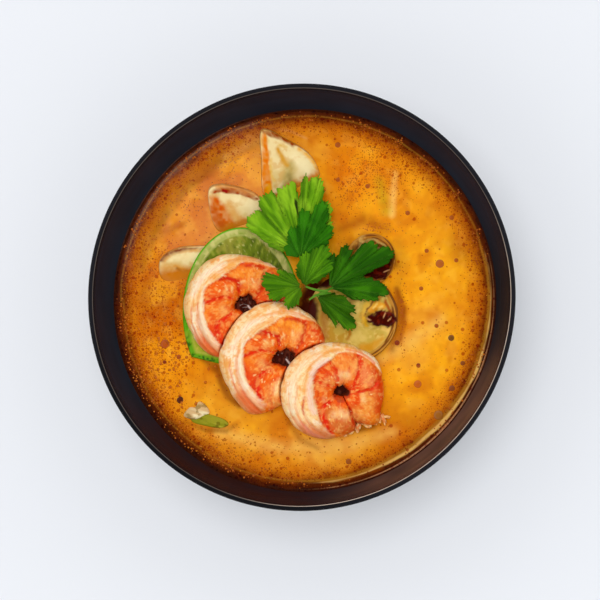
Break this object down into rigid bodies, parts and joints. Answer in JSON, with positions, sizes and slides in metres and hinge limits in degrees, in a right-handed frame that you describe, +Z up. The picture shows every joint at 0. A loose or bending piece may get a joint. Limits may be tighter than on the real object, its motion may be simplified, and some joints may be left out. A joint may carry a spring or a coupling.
{
  "type": "bowl of tom yum soup",
  "caption": "Round black bowl on a foot ring, filled with orange tom yum soup, with curled prawns, lime, mushroom slices and a coriander sprig.",
  "frame": {"origin": "middle of the foot ring's flat underside, at the bottom centre of the whole", "axes": "+Z up out of the bowl, +Y to the bowl's far side as the garnish is seen, +X to its right"},
  "size_m": [0.18, 0.18, 0.068],
  "materials": {
    "black_melamine": "satin",
    "tom_yum_broth": "gloss",
    "cooked_prawn": "satin",
    "lime": "satin",
    "mushroom_flesh": "matte",
    "straw_mushroom_flesh": "satin",
    "straw_mushroom_skin": "satin",
    "coriander_leaf": "satin",
    "coriander_stem": "satin",
    "scallion_green": "satin"
  },
  "bodies": {
    "root": {"bowl": "black_melamine", "soup": "tom_yum_broth", "prawn_1": "cooked_prawn", "prawn_2": "cooked_prawn", "prawn_3": "cooked_prawn", "lime_slice": "lime", "mushroom_slice_1": "mushroom_flesh", "mushroom_slice_2": "mushroom_flesh", "mushroom_slice_3": "mushroom_flesh", "straw_mushroom_1": "straw_mushroom_flesh", "straw_mushroom_2": "straw_mushroom_skin", "mushroom_bit": "mushroom_flesh", "scallion_bit": "scallion_green", "coriander_leaf_1": "coriander_leaf", "coriander_leaf_2": "coriander_leaf", "coriander_leaf_3": "coriander_leaf", "coriander_leaf_4": "coriander_leaf", "coriander_leaf_5": "coriander_leaf", "coriander_stem": "coriander_stem"}
  },
  "joints": []
}
